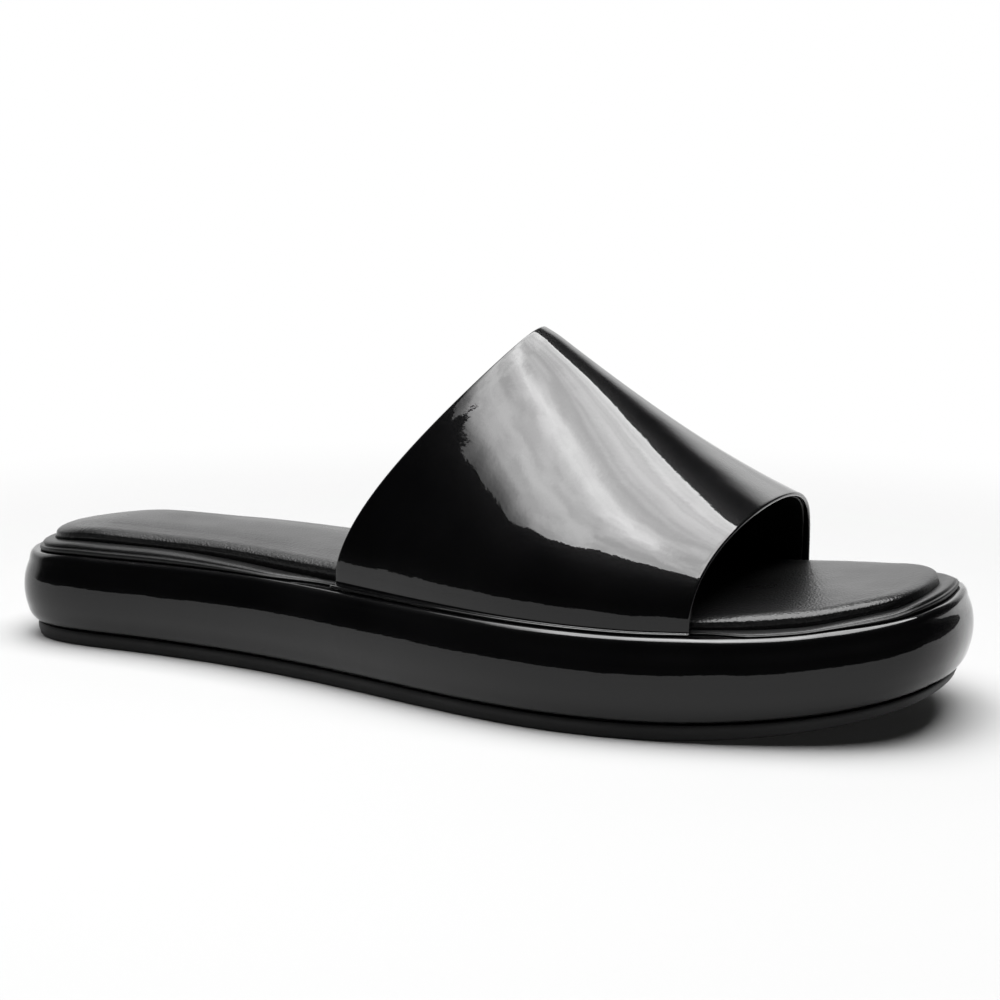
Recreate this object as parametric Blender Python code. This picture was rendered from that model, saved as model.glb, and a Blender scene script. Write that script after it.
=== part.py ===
"""Slide sandal for the right foot: outsole, midsole, insole rim, padded insole and strap upper.

The toe points along +X, the medial side faces +Y and the sole stands on Z = 0.
All sizes below are millimetres; the meshes are built in metres.
"""
import bpy
import numpy as np

METRES = 0.001

# Driving sizes of the shoe
LENGTH = 262.0          # heel to toe along the midsole's top edge
BALL_WIDTH = 94.0       # about the widest part of that edge
INSTEP_HEIGHT = 94.3    # floor to the strap's highest point
SEAM_GAP = 0.3          # air between pieces that touch

# Outline of the midsole's top edge, once round from the back of the heel over the lateral side.
# along: share of LENGTH from the heel. across: share of BALL_WIDTH, plus on the medial side.
OUTLINE = (
    # name, along, across
    ("heel_back", -0.005, -0.020),
    ("heel_corner_lateral", 0.010, -0.223),
    ("heel_lateral", 0.138, -0.296),
    ("waist_lateral", 0.421, -0.373),
    ("ball_lateral", 0.677, -0.504),
    ("toe_lateral", 0.871, -0.398),
    ("toe_corner_lateral", 0.986, -0.200),
    ("toe_tip", 1.000, 0.066),
    ("toe_corner_medial", 0.971, 0.316),
    ("toe_medial", 0.885, 0.471),
    ("ball_medial", 0.730, 0.487),
    ("waist_medial", 0.420, 0.269),
    ("heel_medial", 0.152, 0.222),
    ("heel_corner_medial", 0.055, 0.166),
)
STEPS_PER_SPAN = 7      # outline points from one control point to the next

# Heights of the layers. Tables give them at shares of LENGTH from the heel.
OUTSOLE_THICK = 4.2
OUTSOLE_TOE_THICK = 2.6
MIDSOLE_THICK = (
    # along, thickness
    (0.00, 20.6),
    (0.10, 21.5),
    (0.28, 21.8),
    (0.50, 21.3),
    (0.78, 21.3),
    (0.92, 20.2),
    (1.00, 19.1),
)
RIM_THICK = (
    # along, thickness
    (0.00, 2.5),
    (0.08, 3.0),
    (0.16, 3.0),
    (0.40, 0.7),
    (0.82, 0.5),
    (0.90, 0.6),
    (0.97, 1.5),
    (1.00, 2.6),
)
INSOLE_RISE = (
    # along, insole's top over the midsole's top
    (0.00, 6.8),
    (0.10, 7.6),
    (0.20, 7.2),
    (0.42, 6.0),
    (0.78, 4.4),
    (0.90, 5.3),
    (1.00, 6.0),
)
TOE_SPRING = 8.7        # rise of the outsole's upper face at the toe
SPRING_START = 0.72     # share of LENGTH where the rise begins
SPRING_POWER = 2.4      # how late the rise comes

# Side profiles, a row per ring. out: distance outside the outline. up: share of the layer's thickness.
OUTSOLE_SIDE = (
    # name, out, up
    ("tread_edge", -1.0, 0.00),
    ("tread_round", -0.4, 0.20),
    ("seam", 0.3, 1.00),
)
MIDSOLE_SIDE = (
    # name, out, up
    ("seam", 0.4, 0.00),
    ("low", 2.1, 0.09),
    ("lower_bulge", 3.3, 0.25),
    ("bulge", 3.9, 0.46),
    ("upper_bulge", 3.45, 0.68),
    ("shoulder", 2.35, 0.84),
    ("brow", 1.5, 0.968),
    ("top_edge", -0.8, 1.00),
)
RIM_SIDE = (
    # name, out, up
    ("foot", -0.3, 0.00),
    ("low_round", 0.1, 0.20),
    ("nose", -0.1, 0.50),
    ("high_shoulder", -0.9, 0.80),
    ("high_round", -1.6, 0.92),
    ("ledge", -4.0, 1.00),
)
# Rolled shoulder of the insole over its foot on the rim. drop: depth below the insole's top.
INSOLE_FOOT_OUT = -4.7
INSOLE_SIDE = (
    # name, out, drop
    ("side", -5.15, 2.50),
    ("round", -6.0, 1.65),
    ("shoulder", -7.3, 1.00),
    ("brow", -10.2, 0.42),
    ("top_edge", -12.4, 0.17),
)
# Rim and insole stand further in round the heel and the toe
RIM_HEEL_DRAW = 2.0
RIM_TOE_DRAW = 0.3
INSOLE_HEEL_DRAW = 1.0
INSOLE_TOE_DRAW = 0.3
# Rings of the padded top, drawn in towards the middle line
INSOLE_CROWN = (
    # name, along scale, across scale, rise over the insole's top
    ("crown_edge", 0.95, 0.86, 0.25),
    ("crown_slope", 0.88, 0.62, 0.42),
    ("crown_top", 0.80, 0.28, 0.50),
)

# Strap hoops from the rear edge to the front edge; a row per hoop.
# lateral, medial and crest are shares of LENGTH from the heel. crest_across is a share of BALL_WIDTH and
# crest_up of INSTEP_HEIGHT. The arch's handles are given at its crest and at its foot on each side; 0.55 is
# an ellipse. sweep: power that carries the hoop from the crest back to its hems. hem_up and hem_flare are the
# hem's height and the width it flares out by.
HOOPS = (
    # name, lateral, medial, crest, crest_across, crest_up,
    #     lateral_crest, lateral_foot, medial_crest, medial_foot, sweep, hem_up, hem_flare
    ("rear", 0.412, 0.421, 0.577, 0.050, 1.000, 0.60, 0.29, 0.57, 0.56, 2.38, 2.93, 2.33),
    ("middle", 0.612, 0.602, 0.713, 0.052, 0.745, 0.61, 0.47, 0.57, 0.57, 2.09, 1.90, 1.38),
    ("front", 0.808, 0.806, 0.830, 0.045, 0.563, 0.63, 0.63, 0.59, 0.61, 2.46, 1.29, 0.82),
)
HOOP_COUNT = 9          # hoops in the mesh, rear to front
ARCH_STEPS = 17         # points from crest to hem on one side
WALL = 1.8              # thickness of the strap

# Hem of the strap, flared over the rim from the arch down to the midsole.
# draw_in: share of the flare the row stands in from the hem's edge. up: share of the hem's height.
HEM_OUT = -0.5          # hem's edge outside the outline
HEM = (
    # name, draw_in, up
    ("wall", 1.00, 1.00),
    ("slope", 0.50, 0.85),
    ("turn", 0.10, 0.55),
    ("edge", 0.00, 0.00),
)
# Rim and insole are cut in beside the strap so that its hems pass
TUCK_RIM = 3.4          # how far the rim is cut in
TUCK_INSOLE = 0.6       # how far the insole is cut in
TUCK_REAR = (5.0, 20.0)    # full depth is kept this far behind the strap, then runs out over this length
TUCK_FRONT = (3.0, 12.0)   # the same before the strap

MATERIALS = {
    # name: (colour, roughness)
    "outsole_rubber": ((0.018, 0.018, 0.019), 0.62),
    "midsole_patent": ((0.006, 0.006, 0.007), 0.10),
    "rim_leather": ((0.022, 0.022, 0.023), 0.50),
    "insole_leather": ((0.024, 0.024, 0.025), 0.52),
    "upper_patent": ((0.006, 0.006, 0.007), 0.08),
}


def clear_scene():
    for old in list(bpy.data.objects):
        bpy.data.objects.remove(old, do_unlink=True)


def closed_curve(points, steps):
    """Smooth closed curve through the points: its samples and their outward normals."""
    count = len(points)
    chord = np.linalg.norm(np.roll(points, -1, axis=0) - points, axis=1)
    before = np.roll(chord, 1)
    system = np.zeros((count, count))
    right = np.zeros((count, 2))
    for i in range(count):
        last, after = (i - 1) % count, (i + 1) % count
        system[i, last] = chord[i]
        system[i, i] = 2.0 * (chord[i] + before[i])
        system[i, after] = before[i]
        right[i] = 3.0 * (chord[i] * (points[i] - points[last]) / before[i]
                          + before[i] * (points[after] - points[i]) / chord[i])
    slope = np.linalg.solve(system, right)
    places, tangents = [], []
    for i in range(count):
        after = (i + 1) % count
        start, end = points[i], points[after]
        slope_in, slope_out = slope[i] * chord[i], slope[after] * chord[i]
        for step in range(steps):
            t = step / steps
            places.append((2 * t**3 - 3 * t**2 + 1) * start + (t**3 - 2 * t**2 + t) * slope_in
                          + (3 * t**2 - 2 * t**3) * end + (t**3 - t**2) * slope_out)
            tangents.append((6 * t**2 - 6 * t) * (start - end) + (3 * t**2 - 4 * t + 1) * slope_in
                            + (3 * t**2 - 2 * t) * slope_out)
    tangents = np.array(tangents)
    normals = np.stack([tangents[:, 1], -tangents[:, 0]], axis=1)
    normals /= np.linalg.norm(normals, axis=1)[:, None]
    return np.array(places), normals


def ease(share):
    """Smooth step from nothing to one."""
    share = np.clip(share, 0.0, 1.0)
    return share * share * (3.0 - 2.0 * share)


def value_along(rows, x):
    """Value of a table at this x, easing from each (along, value) row to the next."""
    along = share_along(x)
    value = rows[0][1]
    for (start, low), (end, high) in zip(rows[:-1], rows[1:]):
        value = value + (high - low) * ease((along - start) / (end - start))
    return value


def share_along(x):
    return np.clip(x / LENGTH + 0.5, 0.0, 1.0)


def toe_rise(x):
    """Share of the toe's full rise: nothing under heel and ball, one at the tip."""
    over = np.clip((share_along(x) - SPRING_START) / (1.0 - SPRING_START), 0.0, 1.0)
    return over**SPRING_POWER


def outsole_thick(x):
    return OUTSOLE_THICK + (OUTSOLE_TOE_THICK - OUTSOLE_THICK) * toe_rise(x)


def outsole_foot(x):
    """Height of the underside over the floor."""
    return (TOE_SPRING + OUTSOLE_THICK - OUTSOLE_TOE_THICK) * toe_rise(x)


def midsole_thick(x):
    return value_along(MIDSOLE_THICK, x)


def midsole_foot(x):
    return outsole_foot(x) + outsole_thick(x) + SEAM_GAP


def midsole_top(x):
    return midsole_foot(x) + midsole_thick(x)


def rim_thick(x):
    return value_along(RIM_THICK, x)


def rim_foot(x):
    return midsole_top(x) + SEAM_GAP


def insole_foot(x):
    return rim_foot(x) + rim_thick(x) + SEAM_GAP


def insole_top(x):
    return midsole_top(x) + value_along(INSOLE_RISE, x)


def outline_points():
    table = np.array([(row[1], row[2]) for row in OUTLINE])
    table[:, 0] = (table[:, 0] - 0.5) * LENGTH
    table[:, 1] = table[:, 1] * BALL_WIDTH
    return table


def side_of_outline(x, lateral):
    """Place and outward normal on one long side of the outline at this x."""
    half = len(EDGE) // 2
    run = slice(STEPS_PER_SPAN, half - STEPS_PER_SPAN + 1)
    if not lateral:
        run = slice(half + STEPS_PER_SPAN, len(EDGE) - STEPS_PER_SPAN + 1)
    places, normals = EDGE[run], EDGE_NORMAL[run]
    order = np.argsort(places[:, 0])
    place = np.array([x, np.interp(x, places[order, 0], places[order, 1])])
    normal = np.array([np.interp(x, places[order, 0], normals[order, k]) for k in range(2)])
    return place, normal / np.linalg.norm(normal)


def ring(out, height_at):
    """Ring of points at a distance outside the outline, at the height the function gives."""
    out = np.broadcast_to(np.asarray(out, dtype=float), (len(EDGE),))
    flat = EDGE + EDGE_NORMAL * out[:, None]
    return np.column_stack([flat, height_at(flat[:, 0])])


def layer_rings(side_rows, foot_at, thick_at, cut=0.0):
    """Rings of one layer's side; cut moves them in."""
    rings = []
    for name, out, up in side_rows:
        rings.append(ring(out - cut, lambda x, up=up: foot_at(x) + up * thick_at(x)))
    return rings


def tuck(depth):
    """Depth of the cut beside the strap for each outline point, easing to nothing past its edges."""
    cut = np.zeros(len(EDGE))
    for i, (x, y) in enumerate(EDGE):
        side = 1 if y < 0 else 2
        rear = (HOOPS[0][side] - 0.5) * LENGTH
        front = (HOOPS[-1][side] - 0.5) * LENGTH
        behind = (rear - x - TUCK_REAR[0]) / TUCK_REAR[1]
        before = (x - front - TUCK_FRONT[0]) / TUCK_FRONT[1]
        cut[i] = depth * ease(1.0 - max(behind, before))
    return cut


def end_draw(heel, toe):
    """How far each outline point stands in, most where the outline faces straight back or forward."""
    facing = EDGE_NORMAL[:, 0]
    return np.where(facing < 0.0, heel, toe) * facing**2


def insole_rings(cut):
    """Rings of the insole's side, from its foot on the rim over the rolled shoulder."""
    rings = [ring(INSOLE_FOOT_OUT - cut, insole_foot)]
    for name, out, drop in INSOLE_SIDE:
        rings.append(ring(out - cut, lambda x, drop=drop: insole_top(x) - drop))
    return rings


def crown_rings(base):
    """Rings of the padded top, scaled towards the shoe's middle line from the ring given."""
    partner = (-np.arange(len(base))) % len(base)
    middle = 0.5 * (base[:, 1] + base[partner, 1])
    rings = []
    for name, along, across, rise in INSOLE_CROWN:
        x = base[:, 0] * along
        y = middle + (base[:, 1] - middle) * across
        rings.append(np.column_stack([x, y, insole_top(x) + rise]))
    return rings


def ladder(first, count, flip):
    """Faces across a ring, rung by rung from heel to toe."""
    faces = []
    for i in range(count // 2):
        near, far = [i, i + 1], [(-i - 1) % count, (-i) % count]
        corners = []
        for corner in near + far:
            if first + corner not in corners:
                corners.append(first + corner)
        faces.append(corners[::-1] if flip else corners)
    return faces


def loft(name, rings, material):
    """Closed body through rings that run from the bottom to the top."""
    count = len(rings[0])
    faces = ladder(0, count, True)
    for level in range(len(rings) - 1):
        low, high = level * count, (level + 1) * count
        for i in range(count):
            after = (i + 1) % count
            faces.append([low + i, low + after, high + after, high + i])
    faces += ladder((len(rings) - 1) * count, count, False)
    add_object(name, np.vstack(rings), faces, material)


def add_object(name, points, faces, material):
    mesh = bpy.data.meshes.new(name)
    mesh.from_pydata((points - CENTRE) * METRES, [], faces)
    mesh.materials.append(material)
    mesh.update()
    item = bpy.data.objects.new(name, mesh)
    bpy.context.scene.collection.objects.link(item)


def make_material(name):
    colour, roughness = MATERIALS[name]
    material = bpy.data.materials.new(name)
    material.use_nodes = True
    shader = material.node_tree.nodes["Principled BSDF"]
    shader.inputs["Base Color"].default_value = (*colour, 1.0)
    shader.inputs["Roughness"].default_value = roughness
    shader.inputs["Metallic"].default_value = 0.0
    material.diffuse_color = (*colour, 1.0)
    return material


def hoop_values(share):
    """Values of the hoop at a share of the way from the rear edge to the front edge."""
    table = np.array([row[1:] for row in HOOPS])
    places = np.linspace(0.0, 1.0, len(HOOPS))
    return [np.polyval(np.polyfit(places, column, len(HOOPS) - 1), share) for column in table.T]


def quarter(handle):
    """Run from nothing to one that starts as steeply as its handle is long and ends level."""
    t = np.linspace(0.0, 1.0, ARCH_STEPS)
    return 3 * (1 - t)**2 * t * handle + 3 * (1 - t) * t**2 + t**3


def hem_side(hoop, lateral, depth):
    """Hem points on one side, from the arch's foot down to the edge, at a depth inside the strap's wall."""
    foot_x = (hoop[0 if lateral else 1] - 0.5) * LENGTH
    hem_up, hem_flare = hoop[10:12]
    place, normal = side_of_outline(foot_x, lateral)
    points = []
    for name, draw_in, up in HEM:
        flat = place + normal * (HEM_OUT - draw_in * hem_flare - depth)
        points.append((*flat, rim_foot(foot_x) + up * hem_up))
    return np.array(points)


def arch_side(hoop, lateral, foot):
    """Outer arch from the crest down to its foot on one side."""
    crest_along, crest_across, crest_up = hoop[2:5]
    crest_handle, foot_handle = hoop[5:7] if lateral else hoop[7:9]
    sweep = hoop[9]
    crest = np.array([(crest_along - 0.5) * LENGTH, crest_across * BALL_WIDTH, crest_up * INSTEP_HEIGHT])
    out = quarter(crest_handle)
    up = quarter(foot_handle)[::-1]
    x = crest[0] + (foot[0] - crest[0]) * out**sweep
    y = crest[1] + (foot[1] - crest[1]) * out
    return np.column_stack([x, y, foot[2] + (crest[2] - foot[2]) * up])


def strap_grids():
    """Outer and inner grids of the strap: hoops from rear to front, points from lateral to medial hem."""
    shares = np.linspace(0.0, 1.0, HOOP_COUNT)
    hoops = [hoop_values(share) for share in shares]
    arch = []
    for hoop in hoops:
        lateral = arch_side(hoop, True, hem_side(hoop, True, 0.0)[0])
        medial = arch_side(hoop, False, hem_side(hoop, False, 0.0)[0])
        arch.append(np.vstack([lateral[::-1], medial[1:]]))
    arch = np.array(arch)
    round_hoop = np.gradient(arch, axis=1)
    across_hoops = np.gradient(arch, axis=0)
    normal = np.cross(across_hoops, round_hoop)
    normal /= np.linalg.norm(normal, axis=2)[:, :, None]
    lining = arch - normal * WALL
    outer, inner = [], []
    for i, hoop in enumerate(hoops):
        for grid, body, depth in ((outer, arch[i], 0.0), (inner, lining[i], WALL)):
            lateral = hem_side(hoop, True, depth)
            medial = hem_side(hoop, False, depth)
            grid.append(np.vstack([lateral[::-1], body[1:-1], medial]))
    return np.array(outer), np.array(inner)


def build_upper(material):
    outer, inner = strap_grids()
    hoop_count, point_count = outer.shape[:2]
    inside = hoop_count * point_count

    def at(i, j):
        return i * point_count + j

    faces = []
    for i in range(hoop_count - 1):
        for j in range(point_count - 1):
            corners = [at(i, j), at(i + 1, j), at(i + 1, j + 1), at(i, j + 1)]
            faces.append(corners)
            faces.append([inside + corner for corner in reversed(corners)])
        for j, flip in ((0, False), (point_count - 1, True)):
            hem = [at(i + 1, j), at(i, j), inside + at(i, j), inside + at(i + 1, j)]
            faces.append(hem[::-1] if flip else hem)
    for i, flip in ((0, False), (hoop_count - 1, True)):
        for j in range(point_count - 1):
            edge = [at(i, j), at(i, j + 1), inside + at(i, j + 1), inside + at(i, j)]
            faces.append(edge[::-1] if flip else edge)
    points = np.vstack([outer.reshape(-1, 3), inner.reshape(-1, 3)])
    add_object("upper", points, faces, material)


clear_scene()
EDGE, EDGE_NORMAL = closed_curve(outline_points(), STEPS_PER_SPAN)
WIDEST = EDGE + EDGE_NORMAL * max(row[1] for row in MIDSOLE_SIDE)
CENTRE = np.append(0.5 * (WIDEST.min(axis=0) + WIDEST.max(axis=0)), 0.0)

loft("outsole", layer_rings(OUTSOLE_SIDE, outsole_foot, outsole_thick), make_material("outsole_rubber"))
loft("midsole", layer_rings(MIDSOLE_SIDE, midsole_foot, midsole_thick), make_material("midsole_patent"))
rim_cut = tuck(TUCK_RIM) + end_draw(RIM_HEEL_DRAW, RIM_TOE_DRAW)
loft("insole_rim", layer_rings(RIM_SIDE, rim_foot, rim_thick, rim_cut), make_material("rim_leather"))
insole_side = insole_rings(tuck(TUCK_INSOLE) + end_draw(INSOLE_HEEL_DRAW, INSOLE_TOE_DRAW))
loft("insole", insole_side + crown_rings(insole_side[-1]), make_material("insole_leather"))
build_upper(make_material("upper_patent"))
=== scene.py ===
"""Slide sandal for the right foot, finished: patent strap and midsole, leather insole, rubber outsole.

The toe points along +X, the medial side faces +Y and the sole stands on Z = 0.
Shape tables are millimetres; the meshes are built in metres.
"""
import math

import bpy
import numpy as np
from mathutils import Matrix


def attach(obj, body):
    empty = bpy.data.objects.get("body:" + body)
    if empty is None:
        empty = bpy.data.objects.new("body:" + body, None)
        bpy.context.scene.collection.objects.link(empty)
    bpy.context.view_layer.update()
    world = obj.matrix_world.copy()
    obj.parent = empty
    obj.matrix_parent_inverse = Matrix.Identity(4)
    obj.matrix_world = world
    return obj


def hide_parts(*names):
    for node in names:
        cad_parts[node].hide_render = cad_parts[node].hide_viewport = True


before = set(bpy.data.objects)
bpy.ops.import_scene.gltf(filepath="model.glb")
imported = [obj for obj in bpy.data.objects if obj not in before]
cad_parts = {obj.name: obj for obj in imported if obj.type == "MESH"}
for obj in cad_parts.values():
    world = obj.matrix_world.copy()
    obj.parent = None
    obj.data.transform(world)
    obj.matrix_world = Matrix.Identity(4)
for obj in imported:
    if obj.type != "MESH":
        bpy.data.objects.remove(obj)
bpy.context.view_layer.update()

METRES = 0.001

# Driving sizes of the shoe
LENGTH = 262.0          # heel to toe along the midsole's top edge
BALL_WIDTH = 94.0       # about the widest part of that edge
INSTEP_HEIGHT = 94.3    # floor to the strap's highest point in the solids
SEAM_GAP = 0.3          # air between pieces that touch
SETTLE = 0.2            # how far soft undersides sink into that gap

# Outline of the midsole's top edge, once round from the back of the heel over the lateral side.
# along: share of LENGTH from the heel. across: share of BALL_WIDTH, plus on the medial side.
OUTLINE = (
    # name, along, across
    ("heel_back", -0.005, -0.020),
    ("heel_corner_lateral", 0.010, -0.223),
    ("heel_lateral", 0.138, -0.296),
    ("waist_lateral", 0.421, -0.373),
    ("ball_lateral", 0.677, -0.504),
    ("toe_lateral", 0.871, -0.398),
    ("toe_corner_lateral", 0.986, -0.200),
    ("toe_tip", 1.000, 0.066),
    ("toe_corner_medial", 0.971, 0.316),
    ("toe_medial", 0.885, 0.471),
    ("ball_medial", 0.730, 0.487),
    ("waist_medial", 0.420, 0.269),
    ("heel_medial", 0.152, 0.222),
    ("heel_corner_medial", 0.055, 0.166),
)
STEPS_PER_SPAN = 40     # outline points from one control point to the next

# Heights of the layers. Tables give them at shares of LENGTH from the heel.
OUTSOLE_THICK = 4.2
OUTSOLE_TOE_THICK = 2.6
MIDSOLE_THICK = (
    # along, thickness
    (0.00, 20.6),
    (0.10, 21.5),
    (0.28, 21.8),
    (0.50, 21.3),
    (0.78, 21.3),
    (0.92, 20.2),
    (1.00, 19.1),
)
RIM_THICK = (
    # along, thickness
    (0.00, 2.5),
    (0.08, 3.0),
    (0.16, 3.0),
    (0.40, 0.7),
    (0.82, 0.5),
    (0.90, 0.6),
    (0.97, 1.5),
    (1.00, 2.6),
)
INSOLE_RISE = (
    # along, insole's top over the midsole's top
    (0.00, 6.8),
    (0.10, 7.6),
    (0.20, 7.2),
    (0.42, 6.0),
    (0.78, 4.4),
    (0.90, 5.3),
    (1.00, 6.0),
)
TOE_SPRING = 8.7        # rise of the outsole's upper face at the toe
SPRING_START = 0.72     # share of LENGTH where the rise begins
SPRING_POWER = 2.4      # how late the rise comes

# Side profiles, a row per turn of the profile.
# out: distance outside the outline. up: share of the layer's thickness.
PROFILE_STEPS = 5       # rings from one row to the next
OUTSOLE_SIDE = (
    # name, out, up
    ("tread_edge", -1.0, 0.00),
    ("tread_round", -0.45, 0.10),
    ("wall_low", -0.15, 0.30),
    ("wall_high", 0.2, 0.85),
    ("seam", 0.0, 0.98),
    ("under", -1.2, 1.00),
)
MIDSOLE_SIDE = (
    # name, out, up
    ("under", -2.2, 0.000),
    ("seam", 0.2, 0.006),
    ("low", 2.1, 0.090),
    ("lower_bulge", 3.3, 0.250),
    ("bulge", 3.9, 0.460),
    ("upper_bulge", 3.45, 0.680),
    ("shoulder", 2.35, 0.840),
    ("brow", 1.5, 0.968),
    ("turn", 0.95, 0.992),
    ("top_edge", -0.4, 0.999),
    ("tuck", -2.6, 0.999),
)
# The rim's groove parts it into two rolls at the heel and fades out before the strap
RIM_SIDE = (
    # name, out, up, groove depth at the heel
    ("foot", -0.3, 0.00, 0.0),
    ("low_round", 0.1, 0.10, 0.0),
    ("low_roll", 0.2, 0.29, 0.0),
    ("low_top", 0.0, 0.45, 0.0),
    ("groove", -0.55, 0.56, 0.5),
    ("high_roll", -0.7, 0.68, 0.1),
    ("high_shoulder", -0.95, 0.80, 0.0),
    ("high_round", -1.45, 0.905, 0.0),
    ("high_top", -2.4, 0.975, 0.0),
    ("ledge", -4.5, 1.00, 0.0),
    ("under", -6.0, 0.98, 0.0),
)
GROOVE_END = 0.40       # share of LENGTH where the groove has gone
# Rolled shoulder of the insole over its foot on the rim. drop: depth below the insole's top.
INSOLE_UNDER_OUT = -7.5
INSOLE_FOOT_OUT = -4.7
INSOLE_SIDE = (
    # name, out, drop
    ("side", -5.05, 2.90),
    ("edge", -5.25, 2.10),
    ("round", -5.8, 1.55),
    ("shoulder", -7.0, 0.95),
    ("brow", -10.2, 0.42),
    ("top_edge", -12.4, 0.17),
)
# Rim and insole stand further in round the heel and the toe
RIM_HEEL_DRAW = 2.0
RIM_TOE_DRAW = 0.3
INSOLE_HEEL_DRAW = 1.0
INSOLE_TOE_DRAW = 0.3
INSOLE_CROWN = 0.5      # rise of the padded middle over the insole's top
CROWN_RINGS = 18        # rings from the top edge to the level middle
CROWN_REACH = 0.62      # share of the way to the middle line where the top is level
CROWN_DRAW = 0.22       # how far the rings' ends are drawn in along the shoe

# Strap hoops from the rear edge to the front edge; a row per hoop.
# lateral, medial and crest are shares of LENGTH from the heel. crest_across is a share of BALL_WIDTH and
# crest_up of INSTEP_HEIGHT. The arch's handles are given at its crest and at its foot on each side; 0.55 is
# an ellipse. sweep: power that carries the hoop from the crest back to its hems. hem_up and hem_flare are the
# hem's height and the width it flares out by.
HOOPS = (
    # name, lateral, medial, crest, crest_across, crest_up,
    #     lateral_crest, lateral_foot, medial_crest, medial_foot, sweep, hem_up, hem_flare
    ("rear", 0.412, 0.421, 0.577, 0.050, 0.990, 0.62, 0.292, 0.60, 0.56, 2.38, 2.93, 2.33),
    ("middle", 0.612, 0.602, 0.713, 0.052, 0.746, 0.64, 0.43, 0.57, 0.57, 2.09, 1.90, 1.38),
    ("front", 0.808, 0.806, 0.830, 0.045, 0.563, 0.67, 0.56, 0.59, 0.61, 2.46, 1.29, 0.82),
)
HOOP_COUNT = 61         # hoops in the mesh, rear to front
SIDE_MARGIN = 12.0      # length of outline past the hems that steadies the curve along them
SIDE_DEGREE = 7         # degree of that curve
ARCH_STEPS = 80         # points from crest to hem on one side
WALL = 1.8              # patent and lining together
PATENT_SHARE = 0.68     # share of the wall that is patent
LINING_SHARE = 0.72     # share of the wall where the lining starts
LINING_SET_BACK = 0.016  # share of the strap's width the lining stays back from its edges
REAR_ROLL = 0.5         # how far the rear edge turns in at its top
REAR_ROLL_SHARE = 0.06  # share of the strap's width that turns in
REAR_ROLL_UP = (0.50, 0.95)  # shares of INSTEP_HEIGHT between which it comes in
REAR_REACH = -0.006     # share of the strap's width where its rounded rear edge ends
EDGE_STEPS = 10         # points round a rolled edge

# Hem of the strap, flared over the rim from the arch down to a small ridge on the midsole.
# draw_in: share of the flare the row stands in from the hem's edge. up: share of the hem's height.
HEM_OUT = -0.5          # hem's edge outside the outline
HEM_STEPS = 4           # points from one row to the next
HEM = (
    # name, draw_in, up
    ("wall", 1.00, 1.00),
    ("wall_low", 0.98, 0.46),
    ("corner", 0.90, 0.31),
    ("ledge", 0.50, 0.27),
    ("ridge", 0.20, 0.25),
    ("ridge_nose", 0.00, 0.13),
    ("edge", 0.12, 0.00),
)
# Rim and insole are cut in beside the strap so that its hems pass
TUCK_RIM = 3.4          # how far the rim is cut in
TUCK_INSOLE = 0.6       # how far the insole is cut in
TUCK_REAR = (5.0, 20.0)    # full depth is kept this far behind the strap, then runs out over this length
TUCK_FRONT = (3.0, 12.0)   # the same before the strap

# Fine tread under the outsole
TREAD_PITCH = 5.0       # rib to rib along the shoe
TREAD_DEPTH = 0.7       # depth of the grooves
TREAD_FLANK = (0.25, 0.75)  # levels of the wave between which a groove's side runs
TREAD_WAVE = 2.2        # sideways swing of the ribs
TREAD_WAVE_PITCH = 17.0  # length of one swing across the shoe
TREAD_MARGIN = 0.14     # plain border as a share of the half width
TREAD_ACROSS = 60       # points across the underside

# Finishes. Scales are patches in a metre and depths are metres; pairs are the ends of a range.
NOISE_SPAN = (0.3, 0.7)         # levels between which a noise mostly lies
PATENT_BLACK = (0.0005, 0.0005, 0.0006)
PATENT_BLACK_WORN = (0.0004, 0.0004, 0.0005)
PATENT_BLACK_CLEAN = (0.0007, 0.0007, 0.0008)
PATENT_ROUGHNESS = 0.30         # of the leather under its coat
PATENT_ROUGHNESS_RANGE = (0.25, 0.38)
PATENT_HANDLED_SCALE = 25.0
PATENT_WAVE_SCALE = 70.0
PATENT_PEEL_SCALE = 800.0
PATENT_GRAIN_SCALE = 1500.0
PATENT_GRAIN_DEPTH = 0.0001
DARK_LEATHER = (0.002, 0.002, 0.0021)   # rim and lining
INSOLE_LEATHER = (0.0022, 0.0022, 0.0023)
LEATHER_WORN_SCALE = 30.0
LEATHER_WORN_ROUGHNESS = 0.05   # roughness more or less where worn
LEATHER_WORN_COLOUR = (0.85, 1.15)  # shares of the colour
LEATHER_SOFT_SCALE = 60.0
LEATHER_SOFT_DEPTH = 0.0002
RUBBER_BLACK = (0.004, 0.004, 0.0043)
RUBBER_BLACK_DEEP = (0.003, 0.003, 0.0033)
RUBBER_BLACK_DUSTY = (0.005, 0.005, 0.0053)
RUBBER_ROUGHNESS = 0.55
RUBBER_ROUGHNESS_RANGE = (0.48, 0.62)
RUBBER_DUST_SCALE = 40.0
RUBBER_PIT_SCALE = 900.0
RUBBER_PIT_DEPTH = 0.0001

# Camera of the photo: azimuth and elevation in degrees, sizes in millimetres
CAMERA_AZIMUTH = 26.69
CAMERA_ELEVATION = 10.18
CAMERA_DISTANCE = 600.0
CAMERA_TARGET = (9.32, 0.0, 46.79)
CAMERA_LENS = 81.36

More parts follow.
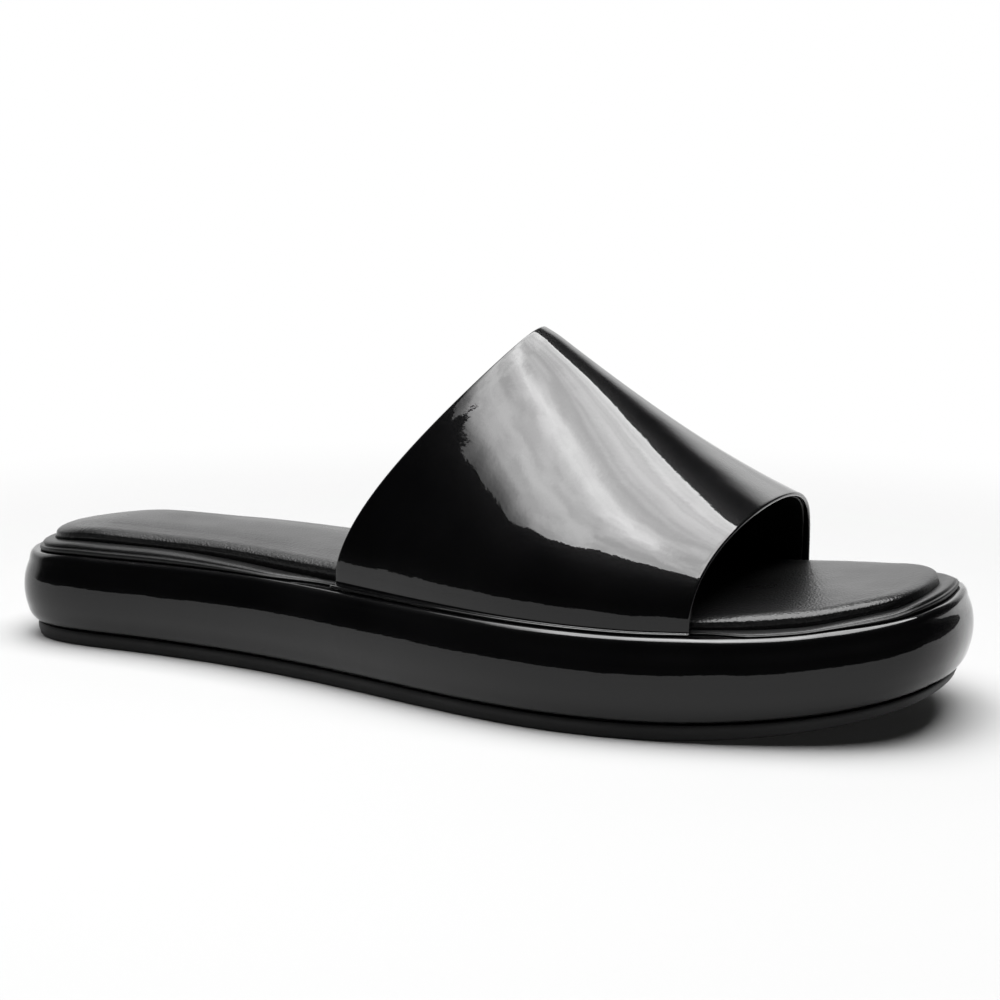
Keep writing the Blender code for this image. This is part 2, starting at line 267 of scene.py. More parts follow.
# Softbox over the shoe, as it shows in the strap: reaches in metres from the shoe's middle
SOFTBOX_HEIGHT = 1.08
SOFTBOX_X = (-0.79, 0.62)
SOFTBOX_Y = (-0.74, 0.59)
SOFTBOX_HOT = (-0.045, -0.25)   # middle of the long lamp behind its cloth
SOFTBOX_HOT_REACH = (0.36, 0.17)    # half length and half width of its glow
SOFTBOX_HOT_TURN = 112.0        # degrees from +X to the lamp's length
SOFTBOX_GLOW = 12.6
SOFTBOX_HOT_GLOW = 8.5
SOFTBOX_CLOUD = (0.82, 1.14)    # unevenness of the cloth
SOFTBOX_CLOUD_SCALE = 7.0       # patches in a metre
SOFTBOX_END = (0.15, 0.42)      # glow left at its rear end, and the length over which it rises to full
BACKDROP_AZIMUTH = 45.0         # degrees from +Y towards the heel
BACKDROP_SIDES = (0.46, 0.68)   # cosine from its middle where it fades out
BACKDROP_TOP = (0.52, 0.68)     # height of a direction where it fades out
BACKDROP_RISE = (0.15, 0.45)    # height of a direction between its dim foot and its bright top
BACKDROP_GLOW = (0.95, 1.9)
ROOM_GLOW = 0.006
FLOOR_REACH = (-6.0, 6.0)       # metres each way
FLOOR_GREY = 0.25
FLOOR_GLOW = 0.01               # light the floor gives in the shade
FLOOR_FADE = (0.20, 0.42)       # radius in metres where the floor fades into the backdrop


def closed_curve(points, steps):
    """Smooth closed curve through the points: its samples and their outward normals."""
    count = len(points)
    chord = np.linalg.norm(np.roll(points, -1, axis=0) - points, axis=1)
    before = np.roll(chord, 1)
    system = np.zeros((count, count))
    right = np.zeros((count, 2))
    for i in range(count):
        last, after = (i - 1) % count, (i + 1) % count
        system[i, last] = chord[i]
        system[i, i] = 2.0 * (chord[i] + before[i])
        system[i, after] = before[i]
        right[i] = 3.0 * (chord[i] * (points[i] - points[last]) / before[i]
                          + before[i] * (points[after] - points[i]) / chord[i])
    slope = np.linalg.solve(system, right)
    places, tangents = [], []
    for i in range(count):
        after = (i + 1) % count
        start, end = points[i], points[after]
        slope_in, slope_out = slope[i] * chord[i], slope[after] * chord[i]
        for step in range(steps):
            t = step / steps
            places.append((2 * t**3 - 3 * t**2 + 1) * start + (t**3 - 2 * t**2 + t) * slope_in
                          + (3 * t**2 - 2 * t**3) * end + (t**3 - t**2) * slope_out)
            tangents.append((6 * t**2 - 6 * t) * (start - end) + (3 * t**2 - 4 * t + 1) * slope_in
                            + (3 * t**2 - 2 * t) * slope_out)
    tangents = np.array(tangents)
    normals = np.stack([tangents[:, 1], -tangents[:, 0]], axis=1)
    normals /= np.linalg.norm(normals, axis=1)[:, None]
    return np.array(places), normals


def open_curve(rows, steps):
    """Smooth open curve through the rows, any number of columns, spaced by the first two."""
    rows = np.array(rows, dtype=float)
    knots = np.append(0.0, np.cumsum(np.linalg.norm(np.diff(rows[:, :2], axis=0), axis=1)))
    slope = np.gradient(rows, knots, axis=0)
    samples = []
    for i in range(len(rows) - 1):
        span = knots[i + 1] - knots[i]
        for step in range(steps):
            t = step / steps
            samples.append((2 * t**3 - 3 * t**2 + 1) * rows[i] + (t**3 - 2 * t**2 + t) * slope[i] * span
                           + (3 * t**2 - 2 * t**3) * rows[i + 1] + (t**3 - t**2) * slope[i + 1] * span)
    samples.append(rows[-1])
    return np.array(samples)


def ease(share):
    """Smooth step from nothing to one."""
    share = np.clip(share, 0.0, 1.0)
    return share * share * (3.0 - 2.0 * share)


def share_along(x):
    return np.clip(x / LENGTH + 0.5, 0.0, 1.0)


def value_along(rows, x):
    """Value of a table at this x, easing from each (along, value) row to the next."""
    along = share_along(x)
    value = rows[0][1]
    for (start, low), (end, high) in zip(rows[:-1], rows[1:]):
        value = value + (high - low) * ease((along - start) / (end - start))
    return value


def toe_rise(x):
    """Share of the toe's full rise: nothing under heel and ball, one at the tip."""
    over = np.clip((share_along(x) - SPRING_START) / (1.0 - SPRING_START), 0.0, 1.0)
    return over**SPRING_POWER


def outsole_thick(x):
    return OUTSOLE_THICK + (OUTSOLE_TOE_THICK - OUTSOLE_THICK) * toe_rise(x)


def outsole_foot(x):
    """Height of the underside over the floor."""
    return (TOE_SPRING + OUTSOLE_THICK - OUTSOLE_TOE_THICK) * toe_rise(x)


def midsole_thick(x):
    return value_along(MIDSOLE_THICK, x)


def midsole_foot(x):
    return outsole_foot(x) + outsole_thick(x) + SEAM_GAP


def midsole_top(x):
    return midsole_foot(x) + midsole_thick(x)


def rim_thick(x):
    return value_along(RIM_THICK, x)


def rim_foot(x):
    return midsole_top(x) + SEAM_GAP


def insole_foot(x):
    return rim_foot(x) + rim_thick(x) + SEAM_GAP


def insole_top(x):
    return midsole_top(x) + value_along(INSOLE_RISE, x)


def outline_points():
    table = np.array([(row[1], row[2]) for row in OUTLINE])
    table[:, 0] = (table[:, 0] - 0.5) * LENGTH
    table[:, 1] = table[:, 1] * BALL_WIDTH
    return table


def ring(out, height_at):
    """Ring of points at a distance outside the outline, at the height the function gives."""
    out = np.broadcast_to(np.asarray(out, dtype=float), (len(EDGE),))
    flat = EDGE + EDGE_NORMAL * out[:, None]
    return np.column_stack([flat, height_at(flat[:, 0])])


def layer_rings(side_rows, foot_at, thick_at, cut=0.0):
    """Rings of one layer's side; a fourth column in the rows is the depth of a groove at the heel."""
    thick = float(np.mean(thick_at(EDGE[:, 0])))
    rows = [(row[1], row[2] * thick, row[3] if len(row) > 3 else 0.0) for row in side_rows]
    groove_share = ease(1.0 - share_along(EDGE[:, 0]) / GROOVE_END)
    rings = []
    for out, height, groove in open_curve(rows, PROFILE_STEPS):
        up = height / thick
        rings.append(ring(out - cut - groove * groove_share, lambda x: foot_at(x) + up * thick_at(x)))
    return rings


def tuck(depth):
    """Depth of the cut beside the strap for each outline point, easing to nothing past its edges."""
    cut = np.zeros(len(EDGE))
    for i, (x, y) in enumerate(EDGE):
        side = 1 if y < 0 else 2
        rear = (HOOPS[0][side] - 0.5) * LENGTH
        front = (HOOPS[-1][side] - 0.5) * LENGTH
        behind = (rear - x - TUCK_REAR[0]) / TUCK_REAR[1]
        before = (x - front - TUCK_FRONT[0]) / TUCK_FRONT[1]
        cut[i] = depth * ease(1.0 - max(behind, before))
    return cut


def end_draw(heel, toe):
    """How far each outline point stands in, most where the outline faces straight back or forward."""
    facing = EDGE_NORMAL[:, 0]
    return np.where(facing < 0.0, heel, toe) * facing**2


def insole_rings(cut):
    """Rings of the insole's side, from its underside over the rolled shoulder."""
    rings = []
    for out in (INSOLE_UNDER_OUT, INSOLE_FOOT_OUT):
        rings.append(ring(out - cut, lambda x: insole_foot(x) - SETTLE))
    for out, drop in open_curve([row[1:] for row in INSOLE_SIDE], PROFILE_STEPS):
        rings.append(ring(out - cut, lambda x: insole_top(x) - drop))
    return rings


def partners(count):
    """For each point of a ring the point across the shoe from it."""
    return (-np.arange(count)) % count


def crown_rings(base):
    """Rings of the padded top, from the ring given in to its level middle."""
    middle = 0.5 * (base[:, 1] + base[partners(len(base)), 1])
    edge_drop = INSOLE_SIDE[-1][2]
    rings = []
    for step in range(1, CROWN_RINGS + 1):
        done = step / CROWN_RINGS
        share = CROWN_REACH * done
        x = base[:, 0] * (1.0 - CROWN_DRAW * share)
        y = middle + (base[:, 1] - middle) * (1.0 - share)
        rise = (INSOLE_CROWN + edge_drop) * (1.0 - (1.0 - done)**2) - edge_drop
        rings.append(np.column_stack([x, y, insole_top(x) + rise]))
    return rings


def tread_height(x, y, share):
    """Depth of the tread's grooves; share runs from the middle line to the edge of the underside."""
    swing = TREAD_WAVE * np.sin(2.0 * math.pi * y / TREAD_WAVE_PITCH)
    wave = np.cos(2.0 * math.pi * (x + swing) / TREAD_PITCH)
    low, high = TREAD_FLANK
    groove = ease((wave - low) / (high - low))
    border = ease((1.0 - share - 0.5 * TREAD_MARGIN) / (0.5 * TREAD_MARGIN))
    return TREAD_DEPTH * groove * border


def ladder(first, count, flip):
    """Faces across a ring, rung by rung from heel to toe."""
    faces = []
    for i in range(count // 2):
        near, far = [i, i + 1], [(-i - 1) % count, (-i) % count]
        corners = []
        for corner in near + far:
            if first + corner not in corners:
                corners.append(first + corner)
        faces.append(corners[::-1] if flip else corners)
    return faces


def loft_faces(ring_count, count):
    """Quads between rings that run from the bottom to the top."""
    faces = []
    for level in range(ring_count - 1):
        low, high = level * count, (level + 1) * count
        for i in range(count):
            after = (i + 1) % count
            faces.append([low + i, low + after, high + after, high + i])
    return faces


def add_piece(name, points, faces, material):
    """Mesh object from points in millimetres, shaded smooth."""
    mesh = bpy.data.meshes.new(name)
    mesh.from_pydata((points - CENTRE) * METRES, [], faces)
    mesh.materials.append(material)
    mesh.polygons.foreach_set("use_smooth", [True] * len(mesh.polygons))
    mesh.update()
    piece = bpy.data.objects.new(name, mesh)
    bpy.context.scene.collection.objects.link(piece)
    return piece


def loft(name, rings, material):
    """Closed body through rings that run from the bottom to the top."""
    count = len(rings[0])
    faces = ladder(0, count, True) + loft_faces(len(rings), count)
    faces += ladder((len(rings) - 1) * count, count, False)
    return add_piece(name, np.vstack(rings), faces, material)


def build_outsole(material):
    """Outsole with a fine tread cut into its underside."""
    rings = layer_rings(OUTSOLE_SIDE, outsole_foot, outsole_thick)
    count = len(EDGE)
    faces = loft_faces(len(rings), count) + ladder((len(rings) - 1) * count, count, False)
    points = list(np.vstack(rings))
    base = rings[0]
    half = count // 2
    rungs = [[0] * TREAD_ACROSS]
    for i in range(1, half):
        near, far = base[i], base[-i]
        rung = [i]
        for step in range(1, TREAD_ACROSS - 1):
            share = step / (TREAD_ACROSS - 1)
            place = near + (far - near) * share
            place[2] = outsole_foot(place[0]) + tread_height(place[0], place[1], abs(2.0 * share - 1.0))
            rung.append(len(points))
            points.append(place)
        rung.append(count - i)
        rungs.append(rung)
    rungs.append([half] * TREAD_ACROSS)
    for rear, front in zip(rungs[:-1], rungs[1:]):
        for step in range(TREAD_ACROSS - 1):
            corners = []
            for corner in (rear[step], rear[step + 1], front[step + 1], front[step]):
                if corner not in corners:
                    corners.append(corner)
            if len(corners) > 2:
                faces.append(corners)
    return add_piece("outsole_tread", np.array(points), faces, material)


def side_curve(lateral):
    """Polynomial for the outline's long side beside the strap."""
    along = [row[1 if lateral else 2] for row in HOOPS]
    rear = (min(along) - 0.5) * LENGTH - SIDE_MARGIN
    front = (max(along) - 0.5) * LENGTH + SIDE_MARGIN
    chosen = (EDGE[:, 0] > rear) & (EDGE[:, 0] < front) & ((EDGE[:, 1] < 0) == lateral)
    return np.poly1d(np.polyfit(EDGE[chosen, 0], EDGE[chosen, 1], SIDE_DEGREE))


def side_of_outline(x, lateral):
    """Place and outward normal on one long side of the outline at this x."""
    curve = SIDE_CURVES[lateral]
    normal = np.array([curve.deriv()(x), -1.0]) * (1.0 if lateral else -1.0)
    return np.array([x, curve(x)]), normal / np.linalg.norm(normal)


def hoop_values(share):
    """Values of the hoop at a share of the way from the rear edge to the front edge."""
    table = np.array([row[1:] for row in HOOPS])
    places = np.linspace(0.0, 1.0, len(HOOPS))
    return [np.polyval(np.polyfit(places, column, len(HOOPS) - 1), share) for column in table.T]


def hem_side(hoop, lateral, depth):
    """Hem points on one side, from the arch's foot down to the edge, at a depth inside the strap's wall."""
    foot_x = (hoop[0 if lateral else 1] - 0.5) * LENGTH
    hem_up, hem_flare = hoop[10:12]
    place, normal = side_of_outline(foot_x, lateral)
    points = []
    for draw_in, up in open_curve([row[1:] for row in HEM], HEM_STEPS):
        flat = place + normal * (HEM_OUT - draw_in * hem_flare - depth)
        points.append((*flat, rim_foot(foot_x) + up * hem_up))
    return np.array(points)


def quarter(handle):
    """Run from nothing to one that starts as steeply as its handle is long and ends level."""
    t = np.linspace(0.0, 1.0, ARCH_STEPS)
    return 3 * (1 - t)**2 * t * handle + 3 * (1 - t) * t**2 + t**3


def arch_side(hoop, lateral, foot):
    """Outer arch from the crest down to its foot on one side."""
    crest_along, crest_across, crest_up = hoop[2:5]
    crest_handle, foot_handle = hoop[5:7] if lateral else hoop[7:9]
    sweep = hoop[9]
    crest = np.array([(crest_along - 0.5) * LENGTH, crest_across * BALL_WIDTH, crest_up * INSTEP_HEIGHT])
    out = quarter(crest_handle)
    up = quarter(foot_handle)[::-1]
    x = crest[0] + (foot[0] - crest[0]) * out**sweep
    y = crest[1] + (foot[1] - crest[1]) * out
    return np.column_stack([x, y, foot[2] + (crest[2] - foot[2]) * up])


def surface_normals(grid):
    """Outward unit normals of a grid of hoops."""
    normal = np.cross(np.gradient(grid, axis=0), np.gradient(grid, axis=1))
    return normal / np.linalg.norm(normal, axis=2)[:, :, None]


def strap_grids(shares, with_hem):
    """Outer and inner grids of the strap: hoops from rear to front, points from lateral to medial hem."""
    hoops = [hoop_values(share) for share in shares]
    arch = []
    for hoop in hoops:
        lateral = arch_side(hoop, True, hem_side(hoop, True, 0.0)[0])
        medial = arch_side(hoop, False, hem_side(hoop, False, 0.0)[0])
        arch.append(np.vstack([lateral[::-1], medial[1:]]))
    arch = np.array(arch)
    roll = REAR_ROLL * np.clip(1.0 - np.asarray(shares) / REAR_ROLL_SHARE, 0.0, 1.0)**2
    start, end = REAR_ROLL_UP
    height_share = ease((arch[:, :, 2] / INSTEP_HEIGHT - start) / (end - start))
    arch = arch - surface_normals(arch) * (roll[:, None] * height_share)[:, :, None]
    lining = arch - surface_normals(arch) * WALL
    if not with_hem:
        return arch, lining
    outer, inner = [], []
    for i, hoop in enumerate(hoops):
        for grid, body, depth in ((outer, arch[i], 0.0), (inner, lining[i], WALL)):
            lateral = hem_side(hoop, True, depth)
            medial = hem_side(hoop, False, depth)
            grid.append(np.vstack([lateral[::-1], body[1:-1], medial]))
    return np.array(outer), np.array(inner)


def build_sheet(name, rear, front, outer_share, inner_share, with_hem, material):
    """Closed sheet with rolled edges, between two shares of the strap's wall."""
    shares = np.linspace(rear, front, HOOP_COUNT)
    outer, inner = strap_grids(shares, with_hem)
    top = outer + (inner - outer) * outer_share
    under = outer + (inner - outer) * inner_share
    middle = 0.5 * (top + under)
    half = 0.5 * (top - under)
    angles = np.linspace(0.0, math.pi, EDGE_STEPS)
    ends = ((0, 1), (HOOP_COUNT - 1, HOOP_COUNT - 2))
    rings = []
    for j in range(outer.shape[1]):
        rolls = []
        for edge, beside in ends:
            away = middle[edge, j] - middle[beside, j]
            away /= np.linalg.norm(away)
            radius = np.linalg.norm(half[edge, j])
            centre = middle[edge, j] - away * radius
            rolls.append([centre + math.cos(a) * half[edge, j] + math.sin(a) * radius * away for a in angles])
        loop = rolls[0][::-1] + list(top[1:-1, j]) + rolls[1] + list(under[1:-1, j][::-1])
        rings.append(np.array(loop))
    count = len(rings[0])
    faces = loft_faces(len(rings), count)
    faces.append(list(range(count))[::-1])
    faces.append([(len(rings) - 1) * count + i for i in range(count)])
    return add_piece(name, np.vstack(rings), faces, material)


def new_material(name, colour, roughness):
    """Material with its node tree and its main shader."""
    material = bpy.data.materials.new(name)
    material.use_nodes = True
    tree = material.node_tree
    shader = tree.nodes["Principled BSDF"]
    shader.inputs["Base Color"].default_value = (*colour, 1.0)
    shader.inputs["Roughness"].default_value = roughness
    shader.inputs["Metallic"].default_value = 0.0
    material.diffuse_color = (*colour, 1.0)
    return material, tree, shader


def add_noise(tree, place, scale, detail):
    """Noise that repeats about scale times in a metre."""
    node = tree.nodes.new("ShaderNodeTexNoise")
    node.inputs["Scale"].default_value = scale
    node.inputs["Detail"].default_value = detail
    tree.links.new(place, node.inputs["Vector"])
    return node.outputs["Fac"]


def add_range(tree, value, low, high, to_low, to_high):
    """Smooth step of a value from one range to another."""
    node = tree.nodes.new("ShaderNodeMapRange")
    node.interpolation_type = "SMOOTHSTEP"
    for name, number in (("From Min", low), ("From Max", high), ("To Min", to_low), ("To Max", to_high)):
        node.inputs[name].default_value = number
    tree.links.new(value, node.inputs["Value"])
    return node.outputs["Result"]


def add_bump(tree, height, strength, depth, before=None):
    """Bump of a depth in metres on top of the one before."""
    node = tree.nodes.new("ShaderNodeBump")
    node.inputs["Strength"].default_value = strength
    node.inputs["Distance"].default_value = depth
    tree.links.new(height, node.inputs["Height"])
    if before is not None:
        tree.links.new(before, node.inputs["Normal"])
    return node.outputs["Normal"]


def add_colour(tree, shader, share, low, high):
    """Base colour that varies between two colours."""
    node = tree.nodes.new("ShaderNodeMix")
    node.data_type = "RGBA"
    node.inputs["A"].default_value = (*low, 1.0)
    node.inputs["B"].default_value = (*high, 1.0)
    tree.links.new(share, node.inputs["Factor"])
    tree.links.new(node.outputs["Result"], shader.inputs["Base Color"])


def patent(name, wave_depth, grain_depth):
    """Black patent leather: a clear gloss that is never quite flat over a fine grain."""
    material, tree, shader = new_material(name, PATENT_BLACK, PATENT_ROUGHNESS)
    place = tree.nodes.new("ShaderNodeTexCoord").outputs["Object"]
    shader.inputs["Specular IOR Level"].default_value = 0.04
    shader.inputs["Coat Weight"].default_value = 1.0
    shader.inputs["Coat Roughness"].default_value = 0.025
    shader.inputs["Coat IOR"].default_value = 1.40
    wave = add_noise(tree, place, PATENT_WAVE_SCALE, 1.0)
    peel = add_noise(tree, place, PATENT_PEEL_SCALE, 2.0)
    gloss = add_bump(tree, peel, 1.0, grain_depth, add_bump(tree, wave, 1.0, wave_depth))
    tree.links.new(gloss, shader.inputs["Coat Normal"])
    grain = add_noise(tree, place, PATENT_GRAIN_SCALE, 3.0)
    tree.links.new(add_bump(tree, grain, 0.4, PATENT_GRAIN_DEPTH, gloss), shader.inputs["Normal"])
    handled = add_noise(tree, place, PATENT_HANDLED_SCALE, 4.0)
    roughness = add_range(tree, handled, *NOISE_SPAN, *PATENT_ROUGHNESS_RANGE)
    tree.links.new(roughness, shader.inputs["Roughness"])
    add_colour(tree, shader, handled, PATENT_BLACK_WORN, PATENT_BLACK_CLEAN)
    return material


def leather(name, colour, roughness, grain_size, grain_depth):
    """Matte black leather with a fine pebble grain, its size and depth in millimetres."""
    material, tree, shader = new_material(name, colour, roughness)
    place = tree.nodes.new("ShaderNodeTexCoord").outputs["Object"]
    shader.inputs["Specular IOR Level"].default_value = 0.25
    pebble = tree.nodes.new("ShaderNodeTexVoronoi")
    pebble.feature = "SMOOTH_F1"
    pebble.inputs["Scale"].default_value = 1.0 / (grain_size * METRES)
    pebble.inputs["Smoothness"].default_value = 0.6
    tree.links.new(place, pebble.inputs["Vector"])
    soft = add_noise(tree, place, LEATHER_SOFT_SCALE, 3.0)
    base = add_bump(tree, soft, 0.6, LEATHER_SOFT_DEPTH)
    normal = add_bump(tree, pebble.outputs["Distance"], 0.8, grain_depth * METRES, base)
    tree.links.new(normal, shader.inputs["Normal"])
    worn = add_noise(tree, place, LEATHER_WORN_SCALE, 4.0)
    smooth, rough = roughness - LEATHER_WORN_ROUGHNESS, roughness + LEATHER_WORN_ROUGHNESS
    tree.links.new(add_range(tree, worn, *NOISE_SPAN, smooth, rough), shader.inputs["Roughness"])
    dark, light = [[share * part for part in colour] for share in LEATHER_WORN_COLOUR]
    add_colour(tree, shader, worn, dark, light)
    return material


def rubber(name):
    """Matte moulded rubber with a dusty, slightly pitted face."""
    material, tree, shader = new_material(name, RUBBER_BLACK, RUBBER_ROUGHNESS)
    place = tree.nodes.new("ShaderNodeTexCoord").outputs["Object"]
    shader.inputs["Specular IOR Level"].default_value = 0.3
    pits = add_noise(tree, place, RUBBER_PIT_SCALE, 3.0)
    tree.links.new(add_bump(tree, pits, 0.5, RUBBER_PIT_DEPTH), shader.inputs["Normal"])
    dust = add_noise(tree, place, RUBBER_DUST_SCALE, 4.0)
    roughness = add_range(tree, dust, *NOISE_SPAN, *RUBBER_ROUGHNESS_RANGE)
    tree.links.new(roughness, shader.inputs["Roughness"])
    add_colour(tree, shader, dust, RUBBER_BLACK_DEEP, RUBBER_BLACK_DUSTY)
    return material


def flat_square(name, x_reach, y_reach, height, material):
    """Level rectangle for the stage, in metres."""
    corners = [(x_reach[0], y_reach[0], height), (x_reach[1], y_reach[0], height),
               (x_reach[1], y_reach[1], height), (x_reach[0], y_reach[1], height)]
    mesh = bpy.data.meshes.new(name)
    mesh.from_pydata(corners, [], [(0, 1, 2, 3)])
    mesh.materials.append(material)
    item = bpy.data.objects.new(name, mesh)
    bpy.context.scene.collection.objects.link(item)
    return item


def distance_from(tree, centre):
    """Distance in metres from a point of the stage."""
    place = tree.nodes.new("ShaderNodeTexCoord").outputs["Object"]
    node = tree.nodes.new("ShaderNodeVectorMath")
    node.operation = "DISTANCE"
    node.inputs[1].default_value = centre
    tree.links.new(place, node.inputs[0])
    return node.outputs["Value"]


def share_of_ellipse(tree, centre, reach, turn):
    """Distance from the middle of an ellipse on the softbox, one on its edge."""
    mapping = tree.nodes.new("ShaderNodeMapping")
    mapping.vector_type = "TEXTURE"
    mapping.inputs["Location"].default_value = (*centre, SOFTBOX_HEIGHT)
    mapping.inputs["Rotation"].default_value = (0.0, 0.0, math.radians(turn))
    mapping.inputs["Scale"].default_value = (*reach, 1.0)
    tree.links.new(tree.nodes.new("ShaderNodeTexCoord").outputs["Object"], mapping.inputs["Vector"])
    node = tree.nodes.new("ShaderNodeVectorMath")
    node.operation = "LENGTH"
    tree.links.new(mapping.outputs["Vector"], node.inputs[0])
    return node.outputs["Value"]


def multiply(tree, first, second):
    node = tree.nodes.new("ShaderNodeMath")
    node.operation = "MULTIPLY"
    tree.links.new(first, node.inputs[0])
    tree.links.new(second, node.inputs[1])
    return node.outputs["Value"]


def add_glow(tree, strength):
    node = tree.nodes.new("ShaderNodeEmission")
    node.inputs["Strength"].default_value = strength
    return node


def build_floor():
    """Pale floor that fades into the white backdrop."""
    material = bpy.data.materials.new("floor")
    material.use_nodes = True
    tree = material.node_tree
    tree.nodes.clear()
    near = tree.nodes.new("ShaderNodeBsdfDiffuse")
    near.inputs["Color"].default_value = (FLOOR_GREY, FLOOR_GREY, FLOOR_GREY, 1.0)
    lifted = tree.nodes.new("ShaderNodeAddShader")
    tree.links.new(near.outputs["BSDF"], lifted.inputs[0])
    tree.links.new(add_glow(tree, FLOOR_GLOW).outputs["Emission"], lifted.inputs[1])
    mix = tree.nodes.new("ShaderNodeMixShader")
    fade = add_range(tree, distance_from(tree, (0.0, 0.0, 0.0)), *FLOOR_FADE, 0.0, 1.0)
    tree.links.new(fade, mix.inputs["Fac"])
    tree.links.new(lifted.outputs["Shader"], mix.inputs[1])
    tree.links.new(add_glow(tree, 1.0).outputs["Emission"], mix.inputs[2])
    out = tree.nodes.new("ShaderNodeOutputMaterial")
    tree.links.new(mix.outputs["Shader"], out.inputs["Surface"])
    flat_square("floor", FLOOR_REACH, FLOOR_REACH, 0.0, material)


def build_softbox():
    """Large softbox over the shoe, brightest before its lamp."""
    material = bpy.data.materials.new("softbox")
    material.use_nodes = True
    tree = material.node_tree
    tree.nodes.clear()
    glow = add_glow(tree, 1.0)
    away = share_of_ellipse(tree, SOFTBOX_HOT, SOFTBOX_HOT_REACH, SOFTBOX_HOT_TURN)
    strength = add_range(tree, away, 0.0, 1.0, SOFTBOX_GLOW + SOFTBOX_HOT_GLOW, SOFTBOX_GLOW)
    place = tree.nodes.new("ShaderNodeTexCoord").outputs["Object"]
    patches = add_noise(tree, place, SOFTBOX_CLOUD_SCALE, 3.0)
    cloud = add_range(tree, patches, *NOISE_SPAN, *SOFTBOX_CLOUD)
    across = tree.nodes.new("ShaderNodeSeparateXYZ")
    tree.links.new(place, across.inputs["Vector"])
    rear = SOFTBOX_X[0]
    end = add_range(tree, across.outputs["X"], rear, rear + SOFTBOX_END[1], SOFTBOX_END[0], 1.0)
    tree.links.new(multiply(tree, multiply(tree, strength, cloud), end), glow.inputs["Strength"])
    out = tree.nodes.new("ShaderNodeOutputMaterial")
    tree.links.new(glow.outputs["Emission"], out.inputs["Surface"])
    softbox = flat_square("softbox", SOFTBOX_X, SOFTBOX_Y, SOFTBOX_HEIGHT, material)
    softbox.visible_camera = False


def build_world():
    """White backdrop behind the shoe in a dark room; the picture's own background is plain white."""
    world = bpy.data.worlds.new("studio")
    world.use_nodes = True
    bpy.context.scene.world = world
    tree = world.node_tree
    tree.nodes.clear()
    azimuth = math.radians(BACKDROP_AZIMUTH)
    direction = tree.nodes.new("ShaderNodeTexCoord").outputs["Generated"]
    behind = tree.nodes.new("ShaderNodeVectorMath")
    behind.operation = "DOT_PRODUCT"
    behind.inputs[1].default_value = (-math.sin(azimuth), math.cos(azimuth), 0.0)
    tree.links.new(direction, behind.inputs[0])
    parts = tree.nodes.new("ShaderNodeSeparateXYZ")
    tree.links.new(direction, parts.inputs["Vector"])
    wide = add_range(tree, behind.outputs["Value"], *BACKDROP_SIDES, ROOM_GLOW, 1.0)
    low = add_range(tree, parts.outputs["Z"], *BACKDROP_TOP, 1.0, ROOM_GLOW)
    rise = add_range(tree, parts.outputs["Z"], *BACKDROP_RISE, *BACKDROP_GLOW)
    room = tree.nodes.new("ShaderNodeBackground")
    tree.links.new(multiply(tree, multiply(tree, wide, low), rise), room.inputs["Strength"])
    white = tree.nodes.new("ShaderNodeBackground")
    white.inputs["Color"].default_value = (1.0, 1.0, 1.0, 1.0)
    room.inputs["Color"].default_value = (1.0, 1.0, 1.0, 1.0)
    mix = tree.nodes.new("ShaderNodeMixShader")
    tree.links.new(tree.nodes.new("ShaderNodeLightPath").outputs["Is Camera Ray"], mix.inputs["Fac"])
    tree.links.new(room.outputs["Background"], mix.inputs[1])
    tree.links.new(white.outputs["Background"], mix.inputs[2])
    out = tree.nodes.new("ShaderNodeOutputWorld")
    tree.links.new(mix.outputs["Shader"], out.inputs["Surface"])


def build_camera():
    """Camera at the photo's angle."""
    data = bpy.data.cameras.new("camera")
    data.lens = CAMERA_LENS
    data.sensor_width = 36.0
    data.clip_start = 0.01
    camera = bpy.data.objects.new("camera", data)
    azimuth, elevation = math.radians(CAMERA_AZIMUTH), math.radians(CAMERA_ELEVATION)
    back = np.array([math.sin(azimuth) * math.cos(elevation), -math.cos(azimuth) * math.cos(elevation),
                     math.sin(elevation)])
    camera.location = (np.array(CAMERA_TARGET) - CENTRE + CAMERA_DISTANCE * back) * METRES
    camera.rotation_euler = (0.5 * math.pi - elevation, 0.0, azimuth)
    bpy.context.scene.collection.objects.link(camera)
    bpy.context.scene.camera = camera


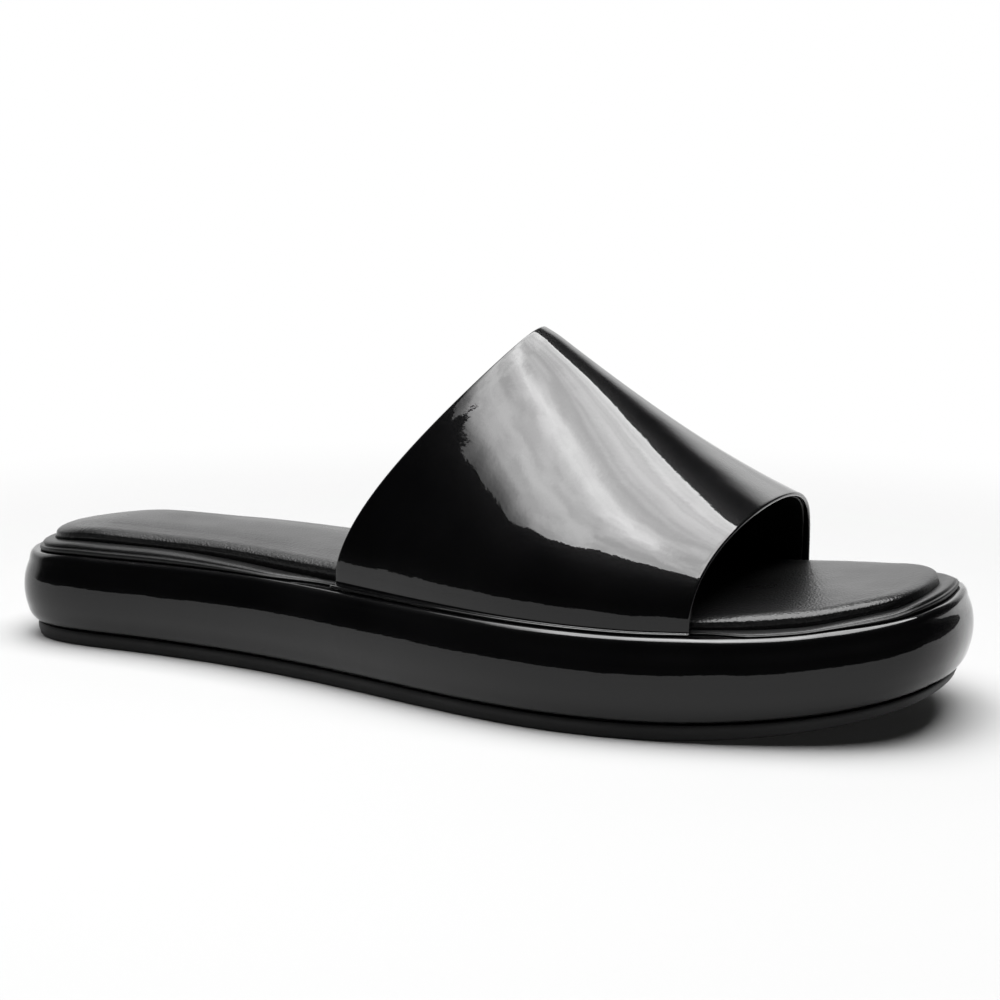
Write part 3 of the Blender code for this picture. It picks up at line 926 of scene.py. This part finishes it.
EDGE, EDGE_NORMAL = closed_curve(outline_points(), STEPS_PER_SPAN)
WIDEST = EDGE + EDGE_NORMAL * max(row[1] for row in MIDSOLE_SIDE)
CENTRE = np.append(0.5 * (WIDEST.min(axis=0) + WIDEST.max(axis=0)), 0.0)
SIDE_CURVES = {True: side_curve(True), False: side_curve(False)}

outsole = build_outsole(rubber("outsole_rubber_finish"))
midsole = loft("midsole_wrap", layer_rings(MIDSOLE_SIDE, midsole_foot, midsole_thick),
               patent("midsole_patent_finish", wave_depth=0.00025, grain_depth=0.000012))
rim_cut = tuck(TUCK_RIM) + end_draw(RIM_HEEL_DRAW, RIM_TOE_DRAW)
rim_side = layer_rings(RIM_SIDE, lambda x: rim_foot(x) - SETTLE, lambda x: rim_thick(x) + SETTLE, rim_cut)
rim = loft("insole_rim_cover", rim_side,
           leather("rim_leather_finish", DARK_LEATHER, roughness=0.36, grain_size=0.7, grain_depth=0.05))
insole_side = insole_rings(tuck(TUCK_INSOLE) + end_draw(INSOLE_HEEL_DRAW, INSOLE_TOE_DRAW))
insole = loft("insole_pad", insole_side + crown_rings(insole_side[-1]),
              leather("insole_leather_finish", INSOLE_LEATHER,
                      roughness=0.31, grain_size=0.6, grain_depth=0.10))
strap = build_sheet("strap_patent", REAR_REACH, 1.0, 0.0, PATENT_SHARE, True,
                    patent("strap_patent_finish", wave_depth=0.00024, grain_depth=0.000010))
lining = build_sheet("strap_lining", LINING_SET_BACK, 1.0 - LINING_SET_BACK, LINING_SHARE, 1.0, False,
                     leather("strap_lining_finish", DARK_LEATHER,
                             roughness=0.55, grain_size=0.6, grain_depth=0.05))

for piece, node, slot in (
    (outsole, "outsole", "outsole_rubber"),
    (midsole, "midsole", "midsole_patent"),
    (rim, "insole_rim", "rim_leather"),
    (insole, "insole", "insole_leather"),
    (strap, "upper", "upper_patent"),
):
    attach(piece, "root")
    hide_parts(node)
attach(lining, "root")

build_floor()
build_softbox()
build_world()
build_camera()
bpy.context.scene.view_settings.view_transform = "Standard"
